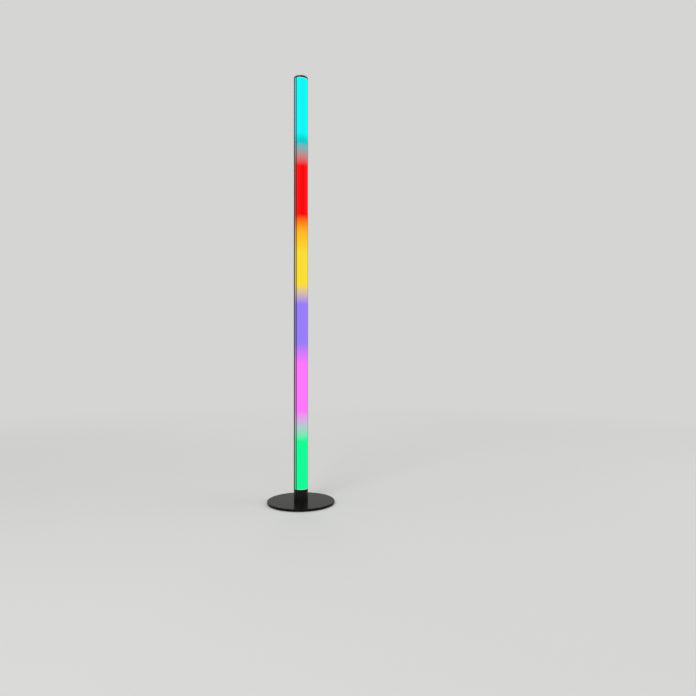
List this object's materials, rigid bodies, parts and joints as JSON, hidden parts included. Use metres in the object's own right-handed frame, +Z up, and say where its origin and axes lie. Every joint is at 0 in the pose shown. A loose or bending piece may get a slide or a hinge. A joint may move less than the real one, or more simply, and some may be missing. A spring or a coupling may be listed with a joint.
{
  "type": "floor lamp",
  "caption": "Slim upright light tube with an opal front diffuser and a flat cap, on a short collar and a thin round base plate with a rear cable inlet.",
  "frame": {"origin": "centre of the lamp's underside, where the pad meets the floor", "axes": "+Z up along the tube, -Y towards the front, where the diffuser faces, +Y to the rear, where the cable inlet is"},
  "size_m": [0.19, 0.19, 1.2],
  "materials": {
    "base_enamel": "satin",
    "black_anodised": "satin",
    "cap_plastic": "satin",
    "opal_diffuser": "satin",
    "pad_foam": "matte",
    "grommet_rubber": "matte",
    "screw_steel": "satin",
    "washer_steel": "satin",
    "board_laminate": "satin",
    "chip_resin": "matte",
    "shield_metal": "satin",
    "capacitor_can": "satin",
    "socket_nylon": "satin",
    "pin_brass": "satin",
    "lead_insulation": "satin",
    "strip_film": "satin",
    "tape_grey": "matte",
    "led_package": "gloss"
  },
  "bodies": {
    "root": {"base_pad": "pad_foam", "base_plate": "base_enamel", "base_washers": "washer_steel", "base_screws": "screw_steel", "collar": "black_anodised", "cable_grommet": "grommet_rubber", "controller_board": "board_laminate", "controller_chip": "chip_resin", "radio_module": "shield_metal", "supply_capacitor": "capacitor_can", "input_socket": "socket_nylon", "output_socket": "socket_nylon", "socket_pins": "pin_brass", "lead_plug": "socket_nylon", "strip_leads": "lead_insulation", "collar_screws": "screw_steel", "back_channel": "black_anodised", "strip_tape": "tape_grey", "led_strip": "strip_film", "led_chips": "led_package", "diffuser": "opal_diffuser", "top_cap": "cap_plastic", "cap_screws": "screw_steel"}
  },
  "joints": []
}
